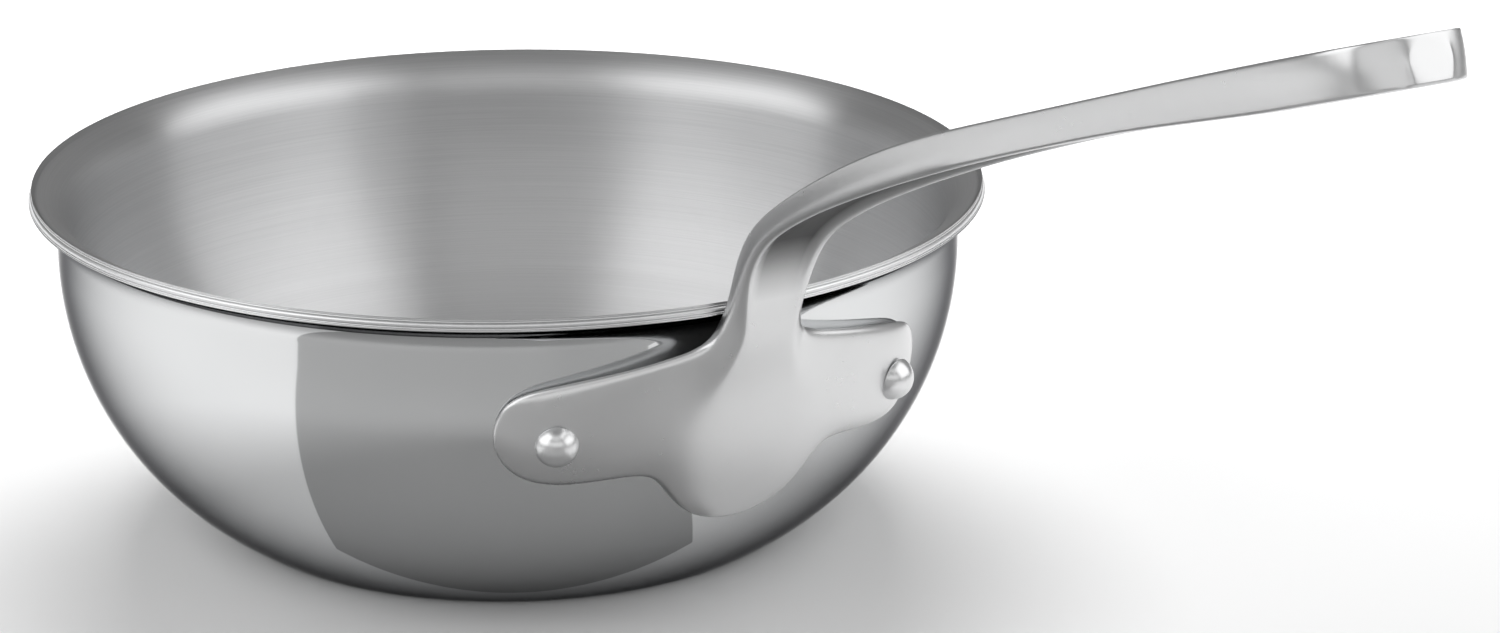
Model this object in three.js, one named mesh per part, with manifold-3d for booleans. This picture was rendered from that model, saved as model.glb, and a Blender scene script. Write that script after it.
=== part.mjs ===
// A splayed saute pan with curved sides: a clad steel bowl and a cast steel handle on two rivets.
// Millimetres, +Z up. The origin is the centre of the resting face and the handle points along +X.
import * as THREE from 'three';
import { mergeVertices } from 'three/addons/utils/BufferGeometryUtils.js';
import Module from 'manifold-3d';

const wasm = await Module();
wasm.setup();

const rad = THREE.MathUtils.degToRad;

// Bowl
const INSIDE_DIAMETER = 200;
const BOWL_HEIGHT = 80;
const BASE_FLAT_RADIUS = 62;
const BASE_CORNER_RADIUS = 10;
const SIDE_RADIUS = 75;
const LIP_FLARE_RADIUS = 6.5;
const LIP_ANGLE = rad(22);
const LIP_LENGTH = 2.2;

// Layers of the clad sheet, from the outside in
const OUTER_SKIN_THICKNESS = 0.4;
const BOND_LAYER_THICKNESS = 0.35;
const CORE_THICKNESS = 1.1;
const INNER_SKIN_THICKNESS = 0.4;
const BOND_LINE = 0.02;

// Rivets, set square to the wall
const RIVET_PITCH = 80.5;
const RIVET_DROP = 18.7;
const SHANK_DIAMETER = 5;
const SHANK_CLEARANCE = 0.3;
const OUTER_HEAD_DIAMETER = 9.6;
const OUTER_HEAD_HEIGHT = 3.9;
const INNER_HEAD_DIAMETER = 13;
const INNER_HEAD_HEIGHT = 2;
const HEAD_SEAT_GAP = 0.35;

// Saddle flange of the handle, which follows the wall
const WALL_CLEARANCE = 0.35;
const FLANGE_THICKNESS = 5;
const FLANGE_EDGE_THICKNESS = 1.6;
const FLANGE_EDGE_ROUND = 2.5;
const FLANGE_SHOULDER = 9;
const SHOULDER_FROM_UPWARD = 0.3;
const SHOULDER_FULL_UPWARD = 0.95;
const FLANGE_TOP_DROP = 0.4;
const EAR_RADIUS = 11.5;
const EAR_OVERHANG = 1.5;
const EAR_UNDERCUT = rad(5);
const NECK_ROOT_HALF_WIDTH = 12.5;
const LOBE_RADIUS = 19;
const LOBE_BELOW_EARS = 11.5;
const LOBE_SWEEP = rad(47);
const LOBE_FILLET = 9;

// Neck and grip of the handle, along the line of its top face
const LIP_CLEARANCE = 0.5;
const FOOT_ANGLE = rad(82);
const FOOT_DEPTH = 1.2;
const FOOT_DROP = 5;
const FOOT_WIDTH = 27;
const FOOT_BEND_RADIUS = 20;
const NECK_ANGLE = rad(70);
const NECK_RISE = 9.7;
const NECK_WIDTH = 17;
const NECK_THICKNESS = 5.8;
const BEND_RADIUS = 36;
const SHOULDER_ANGLE = rad(34);
const SHOULDER_RADIUS = 310;
const SHOULDER_THICKNESS = 8.4;
const GRIP_ANGLE = rad(20.3);
const GRIP_LENGTH = 137.5;
const WAIST_POSITION = 45;
const WAIST_WIDTH = 17.5;
const WAIST_THICKNESS = 7;
const END_POSITION = 123;
const END_WIDTH = 27;
const END_THICKNESS = 8.5;
const END_ROUND = 6.5;
const END_THINNING = 0.25;
const BELT_SHARE = 0.3;
const TOP_SQUARENESS = 4.5;
const NECK_BELLY_SQUARENESS = 2.8;
const GRIP_BELLY_SQUARENESS = 3;

// Hollow on the underside of the handle
const HOLLOW_START = 5;
const HOLLOW_LENGTH = 134;
const HOLLOW_WIDTH = 12;
const HOLLOW_DEPTH = 4.2;

// Fineness of the facets
const BOWL_SEGMENTS = 40;
const CORNER_STEPS = 2;
const SIDE_STEPS = 5;
const FLARE_STEPS = 2;
const OUTLINE_STEPS = 28;
const FACE_STEPS = 4;
const EDGE_STEPS = 4;
const SECTION_POINTS = 20;
const FOOT_STEPS = 3;
const NECK_STEPS = 2;
const BEND_STEPS = 5;
const SHOULDER_STEPS = 4;
const GRIP_STEPS = 6;
const END_STEPS = 4;
const HOLLOW_STEPS = 16;
const DOME_STEPS = 4;
const RIVET_SEGMENTS = 16;

const WALL = OUTER_SKIN_THICKNESS + CORE_THICKNESS + INNER_SKIN_THICKNESS
  + 2 * BOND_LAYER_THICKNESS + 4 * BOND_LINE;
const OUTER_RADIUS = INSIDE_DIAMETER / 2 + WALL;

const POLISHED_STEEL = { color: 0xc9cbcc, roughness: 0.12, metalness: 1 };
const BRUSHED_STEEL = { color: 0xc4c5c6, roughness: 0.34, metalness: 1 };
const CAST_STEEL = { color: 0xc6c7c8, roughness: 0.2, metalness: 1 };
const ALUMINIUM = { color: 0xd2d4d6, roughness: 0.45, metalness: 1 };

// Draws a line of straights and tangent arcs and keeps each station with its heading and length.
class Pen {
  constructor(x, z, heading) {
    this.stations = [{ x, z, heading, travelled: 0 }];
  }

  get tip() {
    return this.stations[this.stations.length - 1];
  }

  line(length, steps = 1) {
    for (let i = 0; i < steps; i += 1) {
      const { x, z, heading, travelled } = this.tip;
      const step = length / steps;
      this.stations.push({
        x: x + step * Math.cos(heading),
        z: z + step * Math.sin(heading),
        heading,
        travelled: travelled + step,
      });
    }
    return this;
  }

  // A rising turn bends to the left, up from the base; a falling one bends to the right.
  arcTo(endHeading, radius, steps) {
    const turn = (endHeading - this.tip.heading) / steps;
    for (let i = 0; i < steps; i += 1) {
      const { x, z, heading, travelled } = this.tip;
      const chord = 2 * radius * Math.abs(Math.sin(turn / 2));
      this.stations.push({
        x: x + chord * Math.cos(heading + turn / 2),
        z: z + chord * Math.sin(heading + turn / 2),
        heading: heading + turn,
        travelled: travelled + radius * Math.abs(turn),
      });
    }
    return this;
  }
}

// Outside of the bowl in section: flat base, tight corner, long side arc, upright wall, flared lip.
// The corner and side arcs are tangent, which fixes the corner's sweep. A bowl too shallow for its
// side to come upright runs from the side arc straight into the lip.
const cornerReach = BASE_FLAT_RADIUS - (OUTER_RADIUS - SIDE_RADIUS);
const cornerSweep = Math.asin(cornerReach / (SIDE_RADIUS - BASE_CORNER_RADIUS));
const sideCentreHeight = BASE_CORNER_RADIUS
  + (SIDE_RADIUS - BASE_CORNER_RADIUS) * Math.cos(cornerSweep);
const lipRise = LIP_FLARE_RADIUS * Math.cos(LIP_ANGLE)
  + LIP_LENGTH * Math.sin(LIP_ANGLE) + WALL * Math.cos(LIP_ANGLE);
const spareHeight = BOWL_HEIGHT - lipRise - sideCentreHeight;
const uprightLength = Math.max(spareHeight, 0);
const sideEndHeading = Math.acos(Math.max(-spareHeight, 0) / (SIDE_RADIUS + LIP_FLARE_RADIUS));

const bowlLine = new Pen(BASE_FLAT_RADIUS, 0, 0)
  .arcTo(cornerSweep, BASE_CORNER_RADIUS, CORNER_STEPS)
  .arcTo(sideEndHeading, SIDE_RADIUS, SIDE_STEPS)
  .line(uprightLength);
const flareStart = bowlLine.tip.z;
bowlLine.arcTo(LIP_ANGLE, LIP_FLARE_RADIUS, FLARE_STEPS).line(LIP_LENGTH);
const lipCorner = bowlLine.tip;

// How far the flat facets of the wall stand inside its true curve, at most.
const sideTurn = (sideEndHeading - cornerSweep) / SIDE_STEPS;
const facetSag = INSIDE_DIAMETER / 2 * (1 - Math.cos(Math.PI / BOWL_SEGMENTS))
  + SIDE_RADIUS * (1 - Math.cos(sideTurn / 2));

// The surface that lies the given depth under the outside of the bowl, from the axis to the lip.
function bowlSurface(depth) {
  const points = [new THREE.Vector2(0, depth)];
  for (const { x, z, heading } of bowlLine.stations) {
    const point = new THREE.Vector2(x - depth * Math.sin(heading), z + depth * Math.cos(heading));
    if (point.distanceTo(points[points.length - 1]) > BOND_LINE) {
      points.push(point);
    }
  }
  return points;
}

// Where the outside of the bowl is at a height under the lip, and the way it faces there.
function wallAt(height) {
  const below = Math.max(sideCentreHeight - height, 0);
  const slope = Math.asin(Math.min(below / SIDE_RADIUS, Math.cos(cornerSweep)));
  return {
    radius: OUTER_RADIUS - SIDE_RADIUS * (1 - Math.cos(slope)),
    height,
    outward: Math.cos(slope),
    downward: Math.sin(slope),
  };
}

// Closed skin over rings of equal count, drawn to a point at each end.
function closedSkin(rings, firstPole, lastPole) {
  const count = rings[0].length;
  const points = [firstPole, ...rings.flat(), lastPole];
  const last = points.length - 1;
  const faces = [];
  for (let i = 0; i < count; i += 1) {
    const next = (i + 1) % count;
    faces.push(0, 1 + next, 1 + i);
    for (let ring = 0; ring < rings.length - 1; ring += 1) {
      const low = 1 + ring * count;
      const high = low + count;
      faces.push(low + i, low + next, high + next);
      faces.push(low + i, high + next, high + i);
    }
    faces.push(last, last - count + i, last - count + next);
  }
  const geometry = new THREE.BufferGeometry().setFromPoints(points);
  geometry.setIndex(faces);
  return geometry;
}

function centreOf(ring) {
  const centre = new THREE.Vector3();
  ring.forEach((point) => centre.add(point));
  return centre.divideScalar(ring.length);
}

function toSolid(geometry) {
  const bare = geometry.clone();
  bare.deleteAttribute('normal');
  bare.deleteAttribute('uv');
  const merged = mergeVertices(bare);
  return new wasm.Manifold(new wasm.Mesh({
    numProp: 3,
    vertProperties: new Float32Array(merged.attributes.position.array),
    triVerts: new Uint32Array(merged.index.array),
  }));
}

function toGeometry(solid) {
  const { vertProperties, triVerts } = solid.getMesh();
  const geometry = new THREE.BufferGeometry();
  geometry.setAttribute('position', new THREE.BufferAttribute(vertProperties, 3));
  geometry.setIndex(new THREE.BufferAttribute(triVerts, 1));
  geometry.computeVertexNormals();
  return geometry;
}

// Rivet places: square to the wall, half the pitch to each side of the handle.
const rivetHeight = flareStart - RIVET_DROP;
const rivetWall = wallAt(rivetHeight);
const rivetTurn = Math.asin(RIVET_PITCH / 2 / rivetWall.radius);
const RIVETS = [
  { name: 'rivet_left', side: 1 },
  { name: 'rivet_right', side: -1 },
];

// Sets something drawn along +Y, with the wall's outside at y = 0, on a rivet's axis.
function rivetPlacement(side) {
  const turn = side * rivetTurn;
  const axis = new THREE.Vector3(
    rivetWall.outward * Math.cos(turn),
    rivetWall.outward * Math.sin(turn),
    -rivetWall.downward,
  );
  const place = new THREE.Vector3(
    rivetWall.radius * Math.cos(turn),
    rivetWall.radius * Math.sin(turn),
    rivetWall.height,
  );
  const quaternion = new THREE.Quaternion().setFromUnitVectors(new THREE.Vector3(0, 1, 0), axis);
  return new THREE.Matrix4().compose(place, quaternion, new THREE.Vector3(1, 1, 1));
}

// The bore that a rivet's shank passes through, long enough for the wall and the flange.
function rivetBore(side) {
  const reach = 2 * (WALL + WALL_CLEARANCE + FLANGE_THICKNESS);
  const radius = SHANK_DIAMETER / 2 + SHANK_CLEARANCE;
  const bore = new THREE.CylinderGeometry(radius, radius, 2 * reach, RIVET_SEGMENTS);
  return toSolid(bore.applyMatrix4(rivetPlacement(side)));
}

const rivetBores = RIVETS.map(({ side }) => rivetBore(side));

function drillForRivets(solid) {
  return rivetBores.reduce((drilled, bore) => drilled.subtract(bore), solid);
}

// One layer of the clad sheet, pressed with the others: a shell between two depths, drilled twice.
function bowlLayer(outerDepth, thickness) {
  const outside = bowlSurface(outerDepth);
  const inside = bowlSurface(outerDepth + thickness).reverse();
  const shell = new THREE.LatheGeometry([...outside, ...inside], BOWL_SEGMENTS);
  shell.rotateX(Math.PI / 2);
  return toGeometry(drillForRivets(toSolid(shell)));
}

// One half of the flange's outline, flattened: across the wall in x and above the rivets in y.
// It runs from the foot of the middle lobe, round the ear at the rivet, to the middle of the top.
// The ear's lower edge rises towards the lobe, and the corner where the two meet is filleted.
function flangeHalfOutline() {
  const earCentre = rivetTurn * OUTER_RADIUS + EAR_OVERHANG;
  const topHeight = RIVET_DROP - FLANGE_TOP_DROP;
  const lobeCentre = LOBE_RADIUS - EAR_RADIUS - LOBE_BELOW_EARS;
  const lobeEnd = LOBE_SWEEP - Math.PI / 2;
  const lobeEndX = LOBE_RADIUS * Math.cos(lobeEnd);
  const lobeEndY = lobeCentre + LOBE_RADIUS * Math.sin(lobeEnd);
  const earStart = -Math.PI / 2 - EAR_UNDERCUT;
  const earStartX = earCentre + EAR_RADIUS * Math.cos(earStart);
  const earStartY = EAR_RADIUS * Math.sin(earStart);
  const lobeRise = Math.tan(LOBE_SWEEP);
  const earRise = Math.tan(EAR_UNDERCUT);
  const cornerX = (earStartY - lobeEndY + lobeEndX * lobeRise + earStartX * earRise)
    / (lobeRise + earRise);
  const cornerY = earStartY + (earStartX - cornerX) * earRise;
  const acrossToRoot = NECK_ROOT_HALF_WIDTH - earCentre;
  const toRoot = Math.atan2(topHeight, acrossToRoot);
  const earEnd = toRoot - Math.acos(EAR_RADIUS / Math.hypot(acrossToRoot, topHeight));
  const path = new THREE.Path();
  path.absarc(0, lobeCentre, LOBE_RADIUS, -Math.PI / 2, lobeEnd);
  path.quadraticCurveTo(
    cornerX,
    cornerY,
    cornerX + LOBE_FILLET,
    cornerY - LOBE_FILLET * earRise,
  );
  path.absarc(earCentre, 0, EAR_RADIUS, earStart, earEnd);
  path.lineTo(NECK_ROOT_HALF_WIDTH, topHeight);
  path.lineTo(0, topHeight);
  return path.getSpacedPoints(OUTLINE_STEPS);
}

// Bends a flattened point round the wall and stands it off by the given height.
function onWall({ x, y }, standOff) {
  const wall = wallAt(rivetHeight + y);
  const turn = x / OUTER_RADIUS;
  const radius = wall.radius + wall.outward * (WALL_CLEARANCE + standOff);
  return new THREE.Vector3(
    radius * Math.cos(turn),
    radius * Math.sin(turn),
    wall.height - wall.downward * (WALL_CLEARANCE + standOff),
  );
}

// Saddle flange: two ears and a lobe on the wall, with round edges and a long slope under the top.
// The slope comes in as the edge turns to face upwards.
function flange() {
  const half = flangeHalfOutline();
  const mirrored = half.slice(1, -1).reverse().map(({ x, y }) => new THREE.Vector2(-x, y));
  const outline = [...half, ...mirrored];
  const inward = outline.map((point, i) => {
    const before = outline[(i + outline.length - 1) % outline.length];
    const after = outline[(i + 1) % outline.length];
    const along = after.clone().sub(before).normalize();
    return new THREE.Vector2(-along.y, along.x);
  });
  const reach = inward.map(({ y }) => THREE.MathUtils.lerp(
    FLANGE_EDGE_ROUND,
    FLANGE_SHOULDER,
    THREE.MathUtils.smoothstep(-y, SHOULDER_FROM_UPWARD, SHOULDER_FULL_UPWARD),
  ));
  const innerShares = [];
  for (let step = 1; step < FACE_STEPS; step += 1) {
    innerShares.push(step / FACE_STEPS);
  }
  const ringAt = (insetShare, scale, standOff) => outline.map((point, i) => {
    const inset = point.clone().addScaledVector(inward[i], insetShare * reach[i]);
    return onWall(inset.multiplyScalar(scale), standOff);
  });
  const rings = innerShares.map((share) => ringAt(0, share, 0));
  rings.push(ringAt(0, 1, 0));
  for (let step = 0; step <= EDGE_STEPS; step += 1) {
    const angle = step / EDGE_STEPS * Math.PI / 2;
    const height = THREE.MathUtils.lerp(FLANGE_EDGE_THICKNESS, FLANGE_THICKNESS, Math.sin(angle));
    rings.push(ringAt(1 - Math.cos(angle), 1, height));
  }
  innerShares.reverse().forEach((share) => rings.push(ringAt(1, share, FLANGE_THICKNESS)));
  const middle = new THREE.Vector2(0, 0);
  return toSolid(closedSkin(rings, onWall(middle, 0), onWall(middle, FLANGE_THICKNESS)));
}

// Line of the handle's top face: up inside the flange, past the lip, over the bend, along the grip.
// The neck's line is set off the lip's outer corner by its clearance.
function handleLine() {
  const start = wallAt(rivetHeight - FOOT_DROP);
  const foot = { x: start.radius + WALL_CLEARANCE + FOOT_DEPTH, z: start.height };
  const past = {
    x: lipCorner.x + LIP_CLEARANCE * Math.sin(NECK_ANGLE),
    z: lipCorner.z - LIP_CLEARANCE * Math.cos(NECK_ANGLE),
  };
  const turn = FOOT_ANGLE - NECK_ANGLE;
  const reach = ((past.x - foot.x) * Math.sin(NECK_ANGLE)
    - (past.z - foot.z) * Math.cos(NECK_ANGLE)) / -Math.sin(turn);
  const meeting = {
    x: foot.x + reach * Math.cos(FOOT_ANGLE),
    z: foot.z + reach * Math.sin(FOOT_ANGLE),
  };
  const tangent = FOOT_BEND_RADIUS * Math.tan(turn / 2);
  const toLip = Math.hypot(past.x - meeting.x, past.z - meeting.z);
  const pen = new Pen(foot.x, foot.z, FOOT_ANGLE)
    .line(reach - tangent, FOOT_STEPS)
    .arcTo(NECK_ANGLE, FOOT_BEND_RADIUS, NECK_STEPS)
    .line(toLip - tangent, NECK_STEPS);
  const lipAt = pen.tip.travelled;
  pen.line(NECK_RISE, NECK_STEPS)
    .arcTo(SHOULDER_ANGLE, BEND_RADIUS, BEND_STEPS)
    .arcTo(GRIP_ANGLE, SHOULDER_RADIUS, SHOULDER_STEPS);
  const gripAt = pen.tip.travelled;
  pen.line(GRIP_LENGTH - END_ROUND, GRIP_STEPS);
  const endAt = pen.tip.travelled;
  for (let step = 0.5; step < END_STEPS; step += 1) {
    const reached = endAt + END_ROUND * Math.sin(step / END_STEPS * Math.PI / 2);
    pen.line(reached - pen.tip.travelled);
  }
  return { stations: pen.stations, lipAt, gripAt, endAt };
}

// A value that passes smoothly from one place on the handle to the next.
function along(keys, distance) {
  const after = keys.findIndex(([place]) => place > distance);
  if (after === 0) {
    return keys[0][1];
  }
  if (after === -1) {
    return keys[keys.length - 1][1];
  }
  const [from, start] = keys[after - 1];
  const [to, end] = keys[after];
  return THREE.MathUtils.lerp(start, end, THREE.MathUtils.smoothstep(distance, from, to));
}

// A section across the handle: a nearly flat top on the handle's line, with crisp edges, a belt where
// it is widest, and a round belly below. Near the foot it bends round the wall as the flange does.
function handleSection({ x, z, heading }, { width, thickness, bellySquareness, wrap }) {
  const ring = [];
  for (let i = 0; i < SECTION_POINTS; i += 1) {
    const angle = i / SECTION_POINTS * 2 * Math.PI;
    const squareness = Math.sin(angle) > 0 ? TOP_SQUARENESS : bellySquareness;
    const across = Math.sign(Math.cos(angle)) * Math.abs(Math.cos(angle)) ** (2 / squareness);
    const up = Math.sign(Math.sin(angle)) * Math.abs(Math.sin(angle)) ** (2 / squareness);
    const depth = BELT_SHARE - up * (up > 0 ? BELT_SHARE : 1 - BELT_SHARE);
    const y = across * width / 2;
    ring.push(new THREE.Vector3(
      x + depth * thickness * Math.sin(heading) - wrap * y * y / (2 * OUTER_RADIUS),
      y,
      z - depth * thickness * Math.cos(heading),
    ));
  }
  return ring;
}

// Neck and grip: wide and thin inside the flange, narrow past the lip, waisted, broad at the end.
function handleShape({ lipAt, gripAt, endAt }, distance) {
  const shoulderAt = (lipAt + gripAt) / 2 + NECK_RISE;
  const width = along([
    [0, FOOT_WIDTH],
    [lipAt, NECK_WIDTH],
    [gripAt + WAIST_POSITION, WAIST_WIDTH],
    [gripAt + END_POSITION, END_WIDTH],
  ], distance);
  const thickness = along([
    [0, FLANGE_THICKNESS - FOOT_DEPTH - WALL_CLEARANCE],
    [lipAt, NECK_THICKNESS],
    [shoulderAt, SHOULDER_THICKNESS],
    [gripAt + WAIST_POSITION, WAIST_THICKNESS],
    [gripAt + END_POSITION, END_THICKNESS],
  ], distance);
  const endShare = Math.max(distance - endAt, 0) / END_ROUND;
  return {
    width: width * Math.sqrt(1 - endShare ** 2),
    thickness: thickness * (1 - END_THINNING * endShare ** 3),
    bellySquareness: along([
      [lipAt, NECK_BELLY_SQUARENESS],
      [gripAt, GRIP_BELLY_SQUARENESS],
    ], distance),
    wrap: along([[0, 1], [lipAt, 0]], distance),
  };
}

function stationAt(stations, distance) {
  const after = stations.findIndex(({ travelled }) => travelled >= distance);
  const from = stations[after - 1];
  const to = stations[after];
  const share = (distance - from.travelled) / (to.travelled - from.travelled);
  return {
    x: THREE.MathUtils.lerp(from.x, to.x, share),
    z: THREE.MathUtils.lerp(from.z, to.z, share),
    heading: THREE.MathUtils.lerp(from.heading, to.heading, share),
  };
}

// The hollow that lightens the handle: a long trough with round ends, sunk into the underside.
function hollow(line) {
  const rings = [];
  for (let step = 1; step < HOLLOW_STEPS; step += 1) {
    const angle = step / HOLLOW_STEPS * Math.PI;
    const distance = line.lipAt + HOLLOW_START + HOLLOW_LENGTH * (1 - Math.cos(angle)) / 2;
    const station = stationAt(line.stations, distance);
    const { thickness } = handleShape(line, distance);
    const size = Math.sqrt(Math.sin(angle));
    const ring = [];
    for (let i = 0; i < SECTION_POINTS; i += 1) {
      const round = i / SECTION_POINTS * 2 * Math.PI;
      const outward = thickness - size * HOLLOW_DEPTH * Math.sin(round);
      ring.push(new THREE.Vector3(
        station.x + outward * Math.sin(station.heading),
        size * HOLLOW_WIDTH / 2 * Math.cos(round),
        station.z - outward * Math.cos(station.heading),
      ));
    }
    rings.push(ring);
  }
  return toSolid(closedSkin(rings, centreOf(rings[0]), centreOf(rings[rings.length - 1])));
}

function handle() {
  const line = handleLine();
  const rings = line.stations.map(
    (station) => handleSection(station, handleShape(line, station.travelled)),
  );
  const bar = toSolid(closedSkin(rings, centreOf(rings[0]), centreOf(rings[rings.length - 1])));
  return toGeometry(drillForRivets(flange().add(bar).subtract(hollow(line))));
}

// One-piece rivet: low head inside the bowl, shank through wall and flange, domed head outside.
function rivet() {
  const innerRadius = INNER_HEAD_DIAMETER / 2;
  const outerRadius = OUTER_HEAD_DIAMETER / 2;
  const wallCurve = innerRadius ** 2 / INSIDE_DIAMETER;
  const innerSeat = -WALL - HEAD_SEAT_GAP - wallCurve - facetSag;
  const outerSeat = WALL_CLEARANCE + FLANGE_THICKNESS + HEAD_SEAT_GAP;
  const innerDome = new THREE.EllipseCurve(
    0, innerSeat, innerRadius, INNER_HEAD_HEIGHT, -Math.PI / 2, 0,
  );
  const outerDome = new THREE.EllipseCurve(
    0, outerSeat, outerRadius, OUTER_HEAD_HEIGHT, 0, Math.PI / 2,
  );
  const profile = [
    ...innerDome.getPoints(DOME_STEPS),
    new THREE.Vector2(SHANK_DIAMETER / 2, innerSeat),
    new THREE.Vector2(SHANK_DIAMETER / 2, outerSeat),
    ...outerDome.getPoints(DOME_STEPS),
  ];
  profile[0].x = 0;
  profile[profile.length - 1].x = 0;
  return new THREE.LatheGeometry(profile, RIVET_SEGMENTS);
}

const part = new THREE.Group();

function addPiece(name, geometry, finish) {
  const mesh = new THREE.Mesh(geometry, new THREE.MeshStandardMaterial(finish));
  mesh.name = name;
  part.add(mesh);
  return mesh;
}

const LAYERS = [
  { name: 'outer_skin', thickness: OUTER_SKIN_THICKNESS, finish: POLISHED_STEEL },
  { name: 'outer_bond_layer', thickness: BOND_LAYER_THICKNESS, finish: ALUMINIUM },
  { name: 'core', thickness: CORE_THICKNESS, finish: ALUMINIUM },
  { name: 'inner_bond_layer', thickness: BOND_LAYER_THICKNESS, finish: ALUMINIUM },
  { name: 'inner_skin', thickness: INNER_SKIN_THICKNESS, finish: BRUSHED_STEEL },
];
let layerDepth = 0;
for (const { name, thickness, finish } of LAYERS) {
  addPiece(name, bowlLayer(layerDepth, thickness), finish);
  layerDepth += thickness + BOND_LINE;
}

addPiece('handle', handle(), CAST_STEEL);

for (const { name, side } of RIVETS) {
  const mesh = addPiece(name, rivet(), POLISHED_STEEL);
  mesh.applyMatrix4(rivetPlacement(side));
}

export default part;
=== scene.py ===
from math import asin, cos, hypot, pi, radians, sin

import bmesh
import bpy
from mathutils import Matrix, Vector


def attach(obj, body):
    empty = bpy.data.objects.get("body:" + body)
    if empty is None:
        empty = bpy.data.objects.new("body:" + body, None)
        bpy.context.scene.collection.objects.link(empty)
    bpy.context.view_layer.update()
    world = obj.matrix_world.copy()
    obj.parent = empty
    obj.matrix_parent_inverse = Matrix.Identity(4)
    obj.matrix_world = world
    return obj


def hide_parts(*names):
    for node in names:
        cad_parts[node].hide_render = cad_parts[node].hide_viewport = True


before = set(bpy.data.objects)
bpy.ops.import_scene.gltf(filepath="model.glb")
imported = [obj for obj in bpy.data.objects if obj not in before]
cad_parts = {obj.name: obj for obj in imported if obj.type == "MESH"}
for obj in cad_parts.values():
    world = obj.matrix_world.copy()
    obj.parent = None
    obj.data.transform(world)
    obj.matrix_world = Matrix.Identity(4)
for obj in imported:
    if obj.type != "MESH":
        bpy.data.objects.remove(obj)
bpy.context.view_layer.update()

# Outer skin
# The outside of the bowl: the outermost sheet of the clad blank, of stainless steel, pressed to shape
# with the other layers and polished to a mirror. Its lip is flared and its edge is ground round.
MM = 0.001
WALL = 2.68 * MM
INSIDE_RADIUS = 100 * MM
BASE_RADIUS = 62 * MM
CORNER_RADIUS = 10 * MM
SIDE_RADIUS = 75 * MM
FLARE_RADIUS = 6.5 * MM
LIP_ANGLE = radians(22)
LIP_LENGTH = 2.2 * MM
BOWL_HEIGHT = 80 * MM
OUTER_SKIN = 0.4 * MM
EDGE_ROUND = 0.28 * MM
CORNER_STEPS = 10
SIDE_STEPS = 28
FLARE_STEPS = 12
TURN_STEPS = 192
MERGE_DISTANCE = 0.001 * MM
RIM_SLACK = 0.01 * MM
OUTER_RADIUS = INSIDE_RADIUS + WALL
SIDE_CENTRE_X = OUTER_RADIUS - SIDE_RADIUS
CORNER_SWEEP = asin((BASE_RADIUS - SIDE_CENTRE_X) / (SIDE_RADIUS - CORNER_RADIUS))
SIDE_CENTRE_Z = CORNER_RADIUS + (SIDE_RADIUS - CORNER_RADIUS) * cos(CORNER_SWEEP)
FLARE_SWEEP = pi / 2 - LIP_ANGLE
FLARE_Z = BOWL_HEIGHT - (FLARE_RADIUS + WALL) * cos(LIP_ANGLE) - LIP_LENGTH * sin(LIP_ANGLE)


def extend(bm, vert, offset):
    """Draws the line on from a vertex and returns its new end."""
    end = bmesh.ops.extrude_vert_indiv(bm, verts=[vert])["verts"][0]
    end.co += Vector(offset)
    return end


def sweep(bm, vert, centre, angle, steps):
    """Draws an arc in the XZ plane on from a vertex and returns its new end."""
    swept = bmesh.ops.spin(
        bm, geom=[vert], cent=centre, axis=(0, -1, 0), angle=angle, steps=steps
    )["geom_last"]
    return next(part for part in swept if isinstance(part, bmesh.types.BMVert))


def draw_bowl_line(bm, depth):
    """Draws the bowl's section at a depth under its outside, and returns its end at the lip."""
    line = bm.verts.new((0, 0, depth))
    line = extend(bm, line, (BASE_RADIUS, 0, 0))
    line = sweep(bm, line, (BASE_RADIUS, 0, CORNER_RADIUS), CORNER_SWEEP, CORNER_STEPS)
    line = sweep(bm, line, (SIDE_CENTRE_X, 0, SIDE_CENTRE_Z), pi / 2 - CORNER_SWEEP, SIDE_STEPS)
    line = extend(bm, line, (0, 0, FLARE_Z - SIDE_CENTRE_Z))
    line = sweep(bm, line, (OUTER_RADIUS + FLARE_RADIUS, 0, FLARE_Z), -FLARE_SWEEP, FLARE_STEPS)
    return extend(bm, line, (LIP_LENGTH * cos(LIP_ANGLE), 0, LIP_LENGTH * sin(LIP_ANGLE)))


def turn(bm, steps):
    """Turns the drawn section once about the Z axis, to a closed skin."""
    section = bm.verts[:] + bm.edges[:]
    bmesh.ops.spin(bm, geom=section, axis=(0, 0, 1), angle=2 * pi, steps=steps, use_merge=True)
    bmesh.ops.remove_doubles(bm, verts=bm.verts, dist=MERGE_DISTANCE)


def to_object(bm, name):
    """Makes the mesh an object, with smooth faces that point outwards."""
    bmesh.ops.recalc_face_normals(bm, faces=bm.faces)
    for face in bm.faces:
        face.smooth = True
    mesh = bpy.data.meshes.new(name)
    bm.to_mesh(mesh)
    bm.free()
    piece = bpy.data.objects.new(name, mesh)
    bpy.context.scene.collection.objects.link(piece)
    return piece


def press_layer(name, depth, thickness):
    """One layer of the bowl: its section turned about the axis, round where it ends the wall."""
    bm = bmesh.new()
    outer_lip = draw_bowl_line(bm, depth)
    inner_lip = draw_bowl_line(bm, depth + thickness)
    bm.edges.new((outer_lip, inner_lip))
    rim = []
    if depth == 0:
        rim.append(outer_lip.co.copy())
    if depth + thickness > WALL - EDGE_ROUND:
        rim.append(inner_lip.co.copy())
    turn(bm, TURN_STEPS)
    on_rim = []
    for edge in bm.edges:
        ends = [Vector((hypot(*vert.co.xy), 0, vert.co.z)) for vert in edge.verts]
        if any(all((end - corner).length < RIM_SLACK for end in ends) for corner in rim):
            on_rim.append(edge)
    bmesh.ops.bevel(
        bm, geom=on_rim, offset=EDGE_ROUND, segments=3, profile=0.5, affect="EDGES", material=-1
    )
    return to_object(bm, name)


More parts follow.
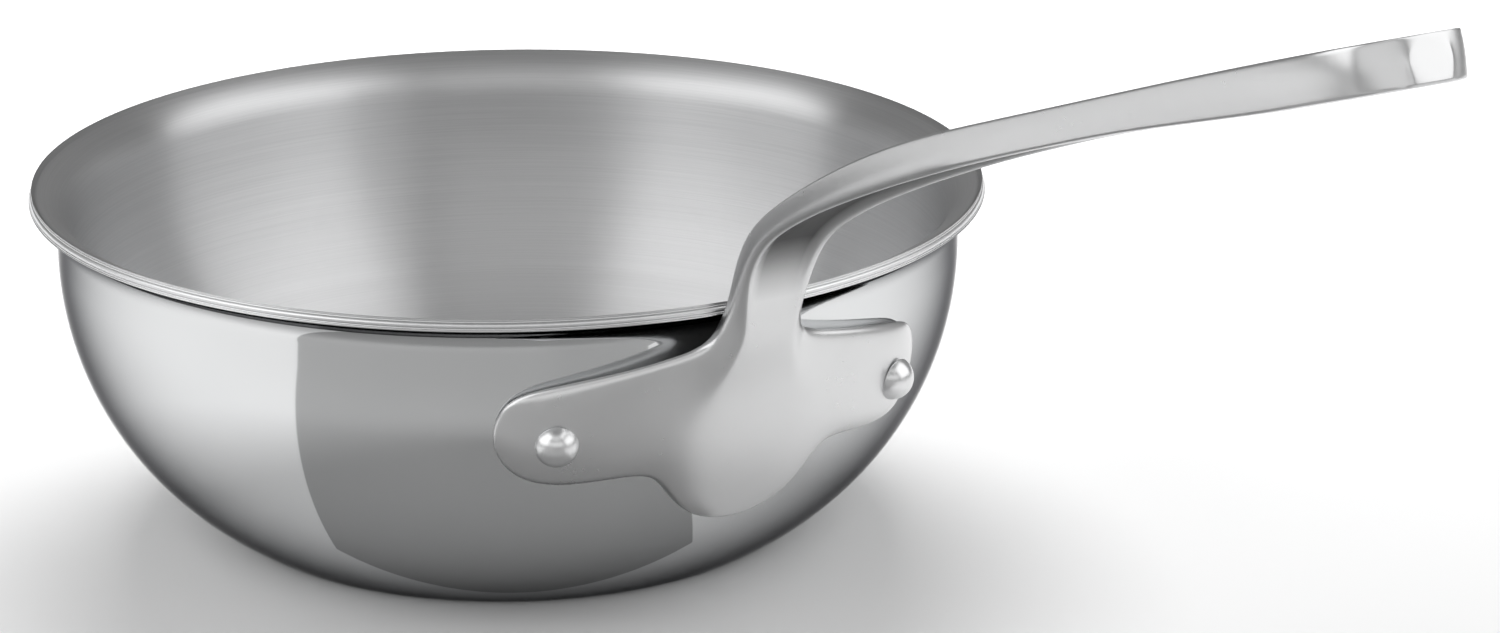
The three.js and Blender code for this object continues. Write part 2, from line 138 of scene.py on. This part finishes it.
class Value:
    """A number or vector in a material's nodes. Arithmetic on it adds Math nodes."""

    def __init__(self, finish, socket):
        self.finish = finish
        self.socket = socket

    def math(self, operation, *values):
        sockets = dict(enumerate(values))
        return self.finish.node("ShaderNodeMath", {"operation": operation}, sockets)

    def __add__(self, other):
        return self.math("ADD", self, other)

    def __radd__(self, other):
        return self.math("ADD", other, self)

    def __mul__(self, other):
        return self.math("MULTIPLY", self, other)

    def __rmul__(self, other):
        return self.math("MULTIPLY", other, self)

    def __pow__(self, other):
        return self.math("POWER", self, other)

    def __rpow__(self, other):
        return self.math("POWER", other, self)


class Finish:
    """A material made of nodes, whose shader takes its fixed values straight on its sockets."""

    def __init__(self, name, **fixed):
        self.material = bpy.data.materials.new(name)
        self.material.use_nodes = True
        self.tree = self.material.node_tree
        self.shader = self.tree.nodes["Principled BSDF"]
        for socket, value in fixed.items():
            self.shader.inputs[socket.replace("_", " ")].default_value = value

    def node(self, kind, settings, inputs, output=0):
        """Adds a node, sets it up, fills or links its sockets and returns one of its outputs."""
        made = self.tree.nodes.new(kind)
        for name, value in settings.items():
            setattr(made, name, value)
        for name, value in inputs.items():
            if isinstance(value, Value):
                self.tree.links.new(value.socket, made.inputs[name])
            elif made.inputs[name].type == "RGBA":
                made.inputs[name].default_value = (*value, 1)
            else:
                made.inputs[name].default_value = value
        return Value(self, made.outputs[output])

    def feed(self, socket, value):
        """Links a value that changes over the surface to the shader."""
        self.tree.links.new(value.socket, self.shader.inputs[socket])

    def place(self):
        """Where on the object a point of the surface is."""
        return self.node("ShaderNodeTexCoord", {}, {}, "Object")

    def noise(self, vector, scale, detail=2.0):
        """Soft noise from 0 to 1."""
        return self.node(
            "ShaderNodeTexNoise", {}, {"Vector": vector, "Scale": scale, "Detail": detail}, "Fac"
        )

    def blend(self, factor, first, second):
        """A colour between two others."""
        return self.node(
            "ShaderNodeMix",
            {"data_type": "RGBA"},
            {"Factor": factor, 6: first, 7: second},
            2,
        )

    def bump(self, height, strength, distance):
        """The surface's facing, tilted as the height says."""
        return self.node(
            "ShaderNodeBump",
            {},
            {"Height": height, "Strength": strength, "Distance": distance},
        )


def mirror_polish():
    """Stainless steel polished on a wheel, with the faintest haze left by the buffing."""
    finish = Finish("mirror_polish", Metallic=1.0, Specular_Tint=(0.15, 0.15, 0.155, 1))
    haze = finish.noise(finish.place(), 45.0)
    finish.feed("Base Color", finish.blend(haze, (0.76, 0.77, 0.775), (0.80, 0.805, 0.81)))
    finish.feed("Roughness", 0.035 + haze * 0.03)
    return finish.material


outer_skin = press_layer("bowl_outer_skin", 0, OUTER_SKIN)
outer_skin.data.materials.append(mirror_polish())
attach(outer_skin, "root")
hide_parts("outer_skin")

# Core and bond layers
# The heat-spreading aluminium inside the wall: an alloy core with a soft layer on each side that
# bonds it to the steel. Only their edges show, as a pale band round the lip.
BOND_LAYER = 0.35 * MM
CORE = 1.1 * MM
BOND_LINE = 0.02 * MM


def rolled_aluminium(name, colour):
    """Bare aluminium at the cut edge, with the fine turning marks of the trimming tool."""
    finish = Finish(name, Metallic=1.0)
    marks = finish.noise(finish.place(), 900.0)
    shade = tuple(0.9 * channel for channel in colour)
    finish.feed("Base Color", finish.blend(marks, shade, colour))
    finish.feed("Roughness", 0.3 + marks * 0.15)
    return finish.material


soft_aluminium = rolled_aluminium("soft_aluminium", (0.86, 0.865, 0.87))
hidden_layers = (
    ("outer_bond_layer", BOND_LAYER, soft_aluminium, "soft_aluminium"),
    ("core", CORE, rolled_aluminium("core_aluminium", (0.84, 0.845, 0.85)), "core_aluminium"),
    ("inner_bond_layer", BOND_LAYER, soft_aluminium, "soft_aluminium"),
)
depth = OUTER_SKIN + BOND_LINE
for node, thickness, material, slot in hidden_layers:
    layer = press_layer("bowl_" + node, depth, thickness)
    layer.data.materials.append(material)
    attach(layer, "root")
    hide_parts(node)
    depth += thickness + BOND_LINE

# Inner skin
# The cooking surface: stainless steel brushed in rings on a lathe, so that it throws light in wedges
# that fan out from the middle.
def ring_brushed():
    """Steel brushed in fine rings about the bowl's axis."""
    finish = Finish("ring_brushed", Metallic=1.0, Anisotropic=0.95, Anisotropic_Rotation=0.25)
    place = finish.place()
    x, y, z = (finish.node("ShaderNodeSeparateXYZ", {}, {"Vector": place}, axis) for axis in "XYZ")
    radius = (x * x + y * y) ** 0.5
    ring = finish.node("ShaderNodeCombineXYZ", {}, {"X": radius + z, "Y": x * 0.01, "Z": y * 0.01})
    lines = finish.noise(ring, 2500.0, 3.0)
    bands = finish.noise(ring, 160.0)
    finish.feed("Base Color", finish.blend(lines, (0.66, 0.665, 0.67), (0.80, 0.80, 0.805)))
    finish.feed("Roughness", 0.31 + lines * 0.08 + bands * 0.06)
    finish.feed("Normal", finish.bump(lines, 0.12, 0.0002))
    return finish.material


inner_skin = press_layer("bowl_inner_skin", depth, WALL - depth)
inner_skin.data.materials.append(ring_brushed())
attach(inner_skin, "root")
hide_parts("inner_skin")

# Handle
# One casting of stainless steel, ground and hand polished: a saddle flange that follows the wall, a
# neck that bends out past the lip and a long grip, lightened by a trough along its underside.
RIVET_HEIGHT = 52.06 * MM
WALL_CLEARANCE = 0.35 * MM
FLANGE_DEPTHS = (0, 1.6 * MM, 5.3 * MM)
EAR_END_DEPTHS = (0, 0.7 * MM, 1.5 * MM)
NECK_ANGLE = radians(70)
SHOULDER_ANGLE = radians(34)
GRIP_ANGLE = radians(20.3)
FOOT_BEND = 20 * MM
NECK_BEND = 36 * MM
SHOULDER_BEND = 310 * MM
FOOT_AT = 4 * MM
NECK_RUN = 28.5 * MM
GRIP_STRAIGHT = 60 * MM
GRIP_BEND = 3500 * MM
GRIP_LENGTH = 148 * MM
WRAP_FROM = 30 * MM
WRAP_FULL = 12 * MM
END_BOW = 0.8 * MM
TOP_CREASE = 0.55
END_CREASE = 0.6
BELLY_CREASE = 0.6
END_ROWS = 6
BACK_CREASE = 0.9
TROUGH_CREASE = 0.6
# Trough depths, in millimetres, over which the painted shade on the trough's floor grows from none to
# full.
TROUGH_SHADE_FROM = 0.6
TROUGH_SHADE_DEPTH = 1.9
BACK_SHARES = (0, 0.36, 0.7, 1.0)
BELLY_SHARES = (0, 0.6, 0.82, 1.0)
BELT_WIDTH = 1.03
BELT_DEPTH = 0.45
BELLY_DEPTH = 1.03

# The flange, flattened: rows from the lobe's foot upwards, each with its back edge and its front face
# as places across and above the rivets, in millimetres, from the middle outwards.
FLANGE_ROWS = (
    (((0, -25.6), (5.6, -24.9), (11.2, -22.3), (15.8, -17.6)),
     ((0, -24.0), (5.2, -23.4), (10.4, -21.0), (14.6, -16.7))),
    (((0, -18.0), (6.0, -17.5), (12.0, -15.6), (18.8, -13.0)),
     ((0, -17.0), (5.8, -16.5), (11.6, -14.8), (17.7, -12.0))),
    (((0, -9.0), (7.0, -9.0), (14.0, -9.4), (22.4, -10.2), (32.0, -11.2), (43.4, -12.3), (52.4, -9.1)),
     ((0, -8.0), (6.5, -8.0), (13.0, -8.0), (21.5, -7.6), (32.0, -8.4), (44.4, -9.0), (51.8, -8.0))),
    (((0, 1.0), (6.0, 1.0), (12.0, 0.8), (20.0, 0.5), (31.0, 0.2), (43.4, 0.0), (56.3, 0.0)),
     ((0, 0.0), (5.6, 0.0), (11.2, -0.4), (19.0, -1.6), (31.0, -2.8), (45.4, -3.0), (55.2, -0.8))),
    (((0, 14.0), (4.6, 14.2), (9.0, 15.4), (13.4, 18.6), (29.0, 15.1), (44.6, 12.1), (52.4, 9.2)),
     ((0, 11.0), (3.6, 11.0), (7.0, 10.4), (11.0, 8.8), (29.0, 4.2), (44.2, 3.4), (51.8, 6.4))),
)
# The neck and the grip, in millimetres: distance past the rivets, half width, thickness, depth of the
# trough, and where the belly's edge lies as shares of the half width and the thickness.
BAR_ROWS = (
    (22.0, 10.0, 5.4, 0.0, 0.66, 0.96),
    (27.5, 8.8, 5.0, 0.1, 0.80, 0.92),
    (33.0, 8.5, 4.8, 0.5, 0.92, 0.92),
    (38.0, 8.6, 4.7, 1.0, 0.97, 0.93),
    (44.0, 8.8, 4.7, 1.5, 0.98, 0.93),
    (51.0, 9.0, 4.9, 1.9, 0.98, 0.93),
    (60.0, 9.2, 5.2, 2.3, 0.98, 0.92),
    (75.0, 9.4, 6.0, 2.9, 0.98, 0.90),
    (92.0, 9.4, 7.2, 3.6, 0.98, 0.88),
    (110.0, 9.3, 8.0, 4.0, 0.98, 0.87),
    (128.0, 9.1, 8.0, 3.8, 0.98, 0.88),
    (147.0, 8.9, 7.5, 3.0, 0.98, 0.91),
    (160.0, 8.8, 7.2, 1.6, 0.98, 0.95),
    (170.0, 8.8, 7.1, 0.2, 0.98, 0.97),
    (187.0, 9.3, 7.1, 0.0, 0.98, 0.98),
    (206.0, 10.3, 7.6, 0.0, 0.98, 0.99),
    (225.0, 11.8, 8.2, 0.0, 0.98, 1.0),
    (241.0, 13.2, 8.6, 0.0, 0.98, 1.0),
    (252.0, 13.9, 8.6, 0.0, 0.98, 1.0),
    (260.0, 13.9, 8.6, 0.0, 0.98, 1.0),
    (265.8, 12.4, 8.6, 0.0, 0.98, 1.0),
    (269.4, 9.6, 8.5, 0.0, 0.98, 1.0),
    (272.2, 5.4, 8.4, 0.0, 0.98, 1.0),
)
# The cage lies flat at first: x counts its columns from the middle, y its rows from the lobe's foot, and
# z its layers, from the back through the belt to the front.
BAR_COLUMNS = 3
EAR_COLUMNS = 6
EAR_ROWS = (2, 4)
CREST_COLUMN = 2
FRONT_LAYER = 2
LAST_ROW = len(FLANGE_ROWS) + len(BAR_ROWS) - 1
TROUGH_ROWS = [len(FLANGE_ROWS) + row for row, bar in enumerate(BAR_ROWS) if bar[3] > 0]
CRISP_AFTER_ROW = TROUGH_ROWS[-4]


def spine(distance):
    """A place on the line of the handle's back, by its distance past the rivets, and its heading."""
    back = SIDE_RADIUS + WALL_CLEARANCE
    start = asin((SIDE_CENTRE_Z - RIVET_HEIGHT) / SIDE_RADIUS)
    x = SIDE_CENTRE_X + back * cos(start)
    z = SIDE_CENTRE_Z - back * sin(start)
    heading = pi / 2 - start
    foot_turn = NECK_ANGLE - heading - FOOT_AT / back
    runs = (
        (FOOT_AT, 1 / back),
        (-foot_turn * FOOT_BEND, -1 / FOOT_BEND),
        (NECK_RUN, 0),
        ((NECK_ANGLE - SHOULDER_ANGLE) * NECK_BEND, -1 / NECK_BEND),
        ((SHOULDER_ANGLE - GRIP_ANGLE) * SHOULDER_BEND, -1 / SHOULDER_BEND),
        (GRIP_STRAIGHT, 0),
        (GRIP_LENGTH, -1 / GRIP_BEND),
    )
    for length, bend in runs:
        step = min(distance, length)
        if bend:
            x += (sin(heading + step * bend) - sin(heading)) / bend
            z += (cos(heading) - cos(heading + step * bend)) / bend
        else:
            x += step * cos(heading)
            z += step * sin(heading)
        heading += step * bend
        distance -= step
        if distance <= 0:
            break
    return x, z, heading


def on_handle(across, distance, depth):
    """A point of the handle: on the flange it bends round the wall, and past the lip it doesn't."""
    x, z, heading = spine(distance)
    x += depth * sin(heading)
    z -= depth * cos(heading)
    angle = across / OUTER_RADIUS
    wrapped = Vector((x * cos(angle), x * sin(angle), z))
    share = min(max((WRAP_FROM - distance) / (WRAP_FROM - WRAP_FULL), 0), 1)
    return Vector((x, across, z)).lerp(wrapped, share)


def flange_point(row, column, layer):
    """A corner of the flange's cage: on its back, on its belt or on its front face."""
    back, front = FLANGE_ROWS[row]
    across, distance = (front if layer == FRONT_LAYER else back)[column]
    depth = (EAR_END_DEPTHS if column == EAR_COLUMNS else FLANGE_DEPTHS)[layer]
    return across * MM, distance * MM, depth


def bar_point(row, column, layer):
    """A corner of the neck's or grip's cage: a flat back, a belt and a belly with a trough."""
    distance, half_width, thickness, trough, edge, edge_depth = BAR_ROWS[row - len(FLANGE_ROWS)]
    if row == LAST_ROW:
        distance -= END_BOW / MM * (column / BAR_COLUMNS) ** 2
    if layer == 0:
        across, depth = half_width * BACK_SHARES[column], 0
    elif layer == 1:
        across, depth = half_width * BELT_WIDTH, thickness * BELT_DEPTH
    else:
        across = half_width * edge * BELLY_SHARES[column]
        crest = thickness * BELLY_DEPTH
        depth = (crest - trough, crest - trough, crest, edge_depth * thickness)[column]
    return across * MM, distance * MM, depth * MM


def cast_handle():
    """The casting: a flat cross of faces, thickened, belted and set corner by corner, then smoothed."""
    bm = bmesh.new()
    columns = 2 * EAR_COLUMNS
    spread = Matrix.Translation((0, LAST_ROW / 2, 0)) @ Matrix.Diagonal((columns, LAST_ROW, 1, 1))
    bmesh.ops.create_grid(bm, x_segments=columns, y_segments=LAST_ROW, size=0.5, matrix=spread)
    beside = []
    for face in bm.faces:
        middle = face.calc_center_median()
        if abs(middle.x) > BAR_COLUMNS and not EAR_ROWS[0] < middle.y < EAR_ROWS[1]:
            beside.append(face)
    bmesh.ops.delete(bm, geom=beside, context="FACES")
    front = bmesh.ops.extrude_face_region(bm, geom=bm.faces[:])["geom"]
    front = [part for part in front if isinstance(part, bmesh.types.BMVert)]
    bmesh.ops.translate(bm, verts=front, vec=(0, 0, FRONT_LAYER))
    upright = [edge for edge in bm.edges if abs(edge.verts[0].co.z - edge.verts[1].co.z) > 1]
    bmesh.ops.subdivide_edges(bm, edges=upright, cuts=1, use_grid_fill=True)
    crease = bm.edges.layers.float.new("crease_edge")
    for edge in bm.edges:
        on_back = all(abs(vert.co.z) < 0.5 for vert in edge.verts)
        if on_back and any(abs(face.normal.z) < 0.5 for face in edge.link_faces):
            on_flange = max(vert.co.y for vert in edge.verts) < len(FLANGE_ROWS)
            from_end = LAST_ROW - min(vert.co.y for vert in edge.verts)
            along = min(from_end / END_ROWS, 1)
            edge[crease] = BACK_CREASE if on_flange else END_CREASE + (TOP_CREASE - END_CREASE) * along
        if not all(vert.co.z == FRONT_LAYER for vert in edge.verts):
            continue
        if all(abs(vert.co.x) == CREST_COLUMN and vert.co.y in TROUGH_ROWS for vert in edge.verts):
            edge[crease] = TROUGH_CREASE
        if all(vert.co.y > CRISP_AFTER_ROW for vert in edge.verts):
            if any(abs(face.normal.z) < 0.5 for face in edge.link_faces):
                edge[crease] = BELLY_CREASE
    # Painted shade: the trough's floor is marked to be painted dark, more strongly where the trough is
    # deeper.
    painted_trough_shade = bm.verts.layers.float.new("painted_trough_shade")
    for vert in bm.verts:
        column, row, layer = (round(part) for part in vert.co)
        if layer == FRONT_LAYER and abs(column) < CREST_COLUMN and row in TROUGH_ROWS:
            trough = BAR_ROWS[row - len(FLANGE_ROWS)][3]
            share = (trough - TROUGH_SHADE_FROM) / (TROUGH_SHADE_DEPTH - TROUGH_SHADE_FROM)
            vert[painted_trough_shade] = min(max(share, 0), 1)
        point = flange_point if row < len(FLANGE_ROWS) else bar_point
        across, distance, depth = point(row, abs(column), layer)
        vert.co = on_handle(across if column > 0 else -across, distance, depth)
    casting = to_object(bm, "cast_handle")
    smooth = casting.modifiers.new("smooth", "SUBSURF")
    smooth.levels = 3
    smooth.render_levels = 3
    return casting


def cast_polish():
    """Cast steel under a hand polish, with soft marks of the belt, and painted shade in the trough."""
    finish = Finish("cast_polish", Metallic=1.0)
    place = finish.place()
    swell = finish.noise(place, 60.0)
    marks = finish.noise(place, 700.0)
    # Painted shade: where the trough mark is set, the colour goes near black and the surface rougher.
    shaded_trough = finish.node("ShaderNodeAttribute", {"attribute_name": "painted_trough_shade"}, {}, "Fac")
    polished = finish.blend(swell, (0.68, 0.683, 0.686), (0.74, 0.742, 0.745))
    finish.feed("Base Color", finish.blend(shaded_trough, polished, (0.10, 0.10, 0.101)))
    finish.feed("Roughness", 0.24 + swell * 0.05 + marks * 0.05 + shaded_trough * 0.2)
    finish.feed("Normal", finish.bump(marks, 0.04, 0.0002))
    return finish.material


handle = cast_handle()
handle.data.materials.append(cast_polish())
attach(handle, "root")
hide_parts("handle")

# Rivets
# Two one-piece rivets of stainless steel through the flange's ears and the wall. Each has a low head
# inside the bowl. Its outer head is driven to a dome that beds itself in the flange, and polished.
RIVET_TURN = radians(23.37)
RIVET_SEAT = 4.9 * MM
HEAD_RADIUS = 4.8 * MM
HEAD_HEIGHT = 3.9 * MM
SHANK_RADIUS = 2.5 * MM
INNER_HEAD_RADIUS = 6.5 * MM
INNER_HEAD_HEIGHT = 2 * MM
INNER_SEAT = -3.3 * MM
HEAD_EDGE = 0.35 * MM
HEAD_STEPS = 12
INNER_HEAD_STEPS = 8
RIVET_TURN_STEPS = 48


def domed(radius, height):
    """The ball radius of a dome and the angle from its top to its edge."""
    ball = (radius * radius + height * height) / (2 * height)
    return ball, asin(radius / ball)


def drive_rivet(name, side):
    """A rivet turned about its own axis and set square to the wall, on one side of the handle."""
    bm = bmesh.new()
    ball, reach = domed(HEAD_RADIUS, HEAD_HEIGHT)
    top = RIVET_SEAT + HEAD_HEIGHT
    line = bm.verts.new((0, 0, top))
    line = sweep(bm, line, (0, 0, top - ball), -reach, HEAD_STEPS)
    line = extend(bm, line, (SHANK_RADIUS - HEAD_RADIUS, 0, 0))
    line = extend(bm, line, (0, 0, INNER_SEAT - RIVET_SEAT))
    line = extend(bm, line, (INNER_HEAD_RADIUS - SHANK_RADIUS, 0, 0))
    ball, reach = domed(INNER_HEAD_RADIUS, INNER_HEAD_HEIGHT)
    sweep(bm, line, (0, 0, INNER_SEAT - INNER_HEAD_HEIGHT + ball), -reach, INNER_HEAD_STEPS)
    turn(bm, RIVET_TURN_STEPS)
    bmesh.ops.recalc_face_normals(bm, faces=bm.faces)
    sharp = [edge for edge in bm.edges if edge.calc_face_angle() > pi / 4]
    rims = [edge for edge in sharp if edge.verts[0].co.xy.length > SHANK_RADIUS + HEAD_EDGE]
    bmesh.ops.bevel(
        bm, geom=rims, offset=HEAD_EDGE, segments=3, profile=0.5, affect="EDGES", material=-1
    )
    slope = asin((SIDE_CENTRE_Z - RIVET_HEIGHT) / SIDE_RADIUS)
    reach = SIDE_CENTRE_X + SIDE_RADIUS * cos(slope)
    seat = (
        Matrix.Rotation(side * RIVET_TURN, 4, "Z")
        @ Matrix.Translation((reach, 0, RIVET_HEIGHT))
        @ Matrix.Rotation(pi / 2 + slope, 4, "Y")
    )
    bmesh.ops.transform(bm, matrix=seat, verts=bm.verts)
    return to_object(bm, name)


def rivet_polish():
    """Polished steel, worn a little dull by the driving tool."""
    finish = Finish("rivet_polish", Metallic=1.0)
    wear = finish.noise(finish.place(), 400.0)
    finish.feed("Base Color", finish.blend(wear, (0.76, 0.765, 0.77), (0.81, 0.813, 0.815)))
    finish.feed("Roughness", 0.26 + wear * 0.08)
    return finish.material


rivet_steel = rivet_polish()
for node, side in (("rivet_left", 1), ("rivet_right", -1)):
    rivet = drive_rivet("driven_" + node, side)
    rivet.data.materials.append(rivet_steel)
    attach(rivet, "root")
    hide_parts(node)

# Floor
# A plain table, painted white and without gloss. It is no part of the pan, and stands still under it.
TABLE_HALF_SIZE = 3.0
bm = bmesh.new()
bmesh.ops.create_grid(bm, x_segments=1, y_segments=1, size=TABLE_HALF_SIZE)
floor = to_object(bm, "floor")
table_top = Finish("table_top", Base_Color=(0.82, 0.82, 0.82, 1), Roughness=0.6)
floor.data.materials.append(table_top.material)

# Light
# A tall soft box on each side of the pan, a weak one over the camera, a long low one in front of the
# grip's end, and a lamp that whitens the table behind. A grey card lies on the table in front, where
# only reflections see it, so that the polish has contrast.
CAMERA_TURN = radians(-28.3)
BOXES = (
    ("left_box", (-0.776, 0.29, 0.6), (1.15, 1.0), 4.6),
    ("right_box", (0.776, 0.194, 0.6), (1.15, 1.0), 4.2),
)
BOX_AIM = (0, 0, 0.1)
FILL_PLACE = (0, 1.2, 1.3)
FILL_SIZE = (1.2, 0.8)
FILL_POWER = 1.5
LOW_PLACE = (0, 1.6, 0.55)
LOW_SIZE = (2.4, 0.6)
LOW_POWER = 3.2
TABLE_LAMP_PLACE = (0, -0.75, 1.1)
TABLE_LAMP_AIM = (0, -0.5, 0)
TABLE_LAMP_SIZE = (0.9, 0.4)
TABLE_LAMP_POWER = 6.5
TABLE_LAMP_SPREAD = radians(90)
CARD_CORNERS = ((-0.045, 0.07), (-0.55, 0.5), (0.3, 0.6), (0.045, 0.07))
CARD_LIFT = 1 * MM
AMBIENT = 0.25

world = bpy.data.worlds.new("studio")
world.use_nodes = True
world.node_tree.nodes["Background"].inputs["Color"].default_value = (1, 1, 1, 1)
world.node_tree.nodes["Background"].inputs["Strength"].default_value = AMBIENT
bpy.context.scene.world = world


def from_camera(right, front, height):
    """A place given to the camera's right, in front of the pan's middle and above the table."""
    return Matrix.Rotation(CAMERA_TURN, 3, "Z") @ Vector((front, right, height))


def soft_box(name, place, aim, size, power):
    """A lamp behind a white sheet."""
    lamp = bpy.data.lights.new(name, "AREA")
    lamp.shape = "RECTANGLE"
    lamp.size, lamp.size_y = size
    lamp.energy = power
    box = bpy.data.objects.new(name, lamp)
    box.location = place
    box.rotation_euler = (aim - place).to_track_quat("-Z", "Y").to_euler()
    bpy.context.scene.collection.objects.link(box)
    return box


for name, place, size, power in BOXES:
    soft_box(name, from_camera(*place), Vector(BOX_AIM), size, power)
bm = bmesh.new()
corners = [bm.verts.new(from_camera(*corner, CARD_LIFT)) for corner in CARD_CORNERS]
bmesh.ops.contextual_create(bm, geom=corners)
card = to_object(bm, "grey_card")
grey_paper = Finish("grey_paper", Base_Color=(0.4, 0.4, 0.4, 1), Roughness=0.8)
card.data.materials.append(grey_paper.material)
card.visible_camera = False
card.visible_diffuse = False
card.visible_shadow = False
soft_box("fill_box", from_camera(*FILL_PLACE), Vector(), FILL_SIZE, FILL_POWER)
soft_box("low_box", from_camera(*LOW_PLACE), Vector(BOX_AIM), LOW_SIZE, LOW_POWER)
table_lamp = soft_box(
    "table_lamp",
    from_camera(*TABLE_LAMP_PLACE),
    from_camera(*TABLE_LAMP_AIM),
    TABLE_LAMP_SIZE,
    TABLE_LAMP_POWER,
)
table_lamp.data.spread = TABLE_LAMP_SPREAD
table_lamp.visible_glossy = False

# Camera
# It stands in front of the handle, to the right of the pan, and looks a little down on it.
CAMERA_PLACE = (0.921611, -0.495863, 0.388504)
CAMERA_AIM = (0.028626, 0.047081, 0.0453)
CAMERA_LENS = 114.456
CAMERA_SENSOR = 36
lens = bpy.data.cameras.new("camera")
lens.lens = CAMERA_LENS
lens.sensor_width = CAMERA_SENSOR
camera = bpy.data.objects.new("camera", lens)
camera.location = CAMERA_PLACE
line_of_sight = Vector(CAMERA_AIM) - Vector(CAMERA_PLACE)
camera.rotation_euler = line_of_sight.to_track_quat("-Z", "Y").to_euler()
bpy.context.scene.collection.objects.link(camera)
bpy.context.scene.camera = camera
bpy.context.scene.view_settings.view_transform = "Standard"
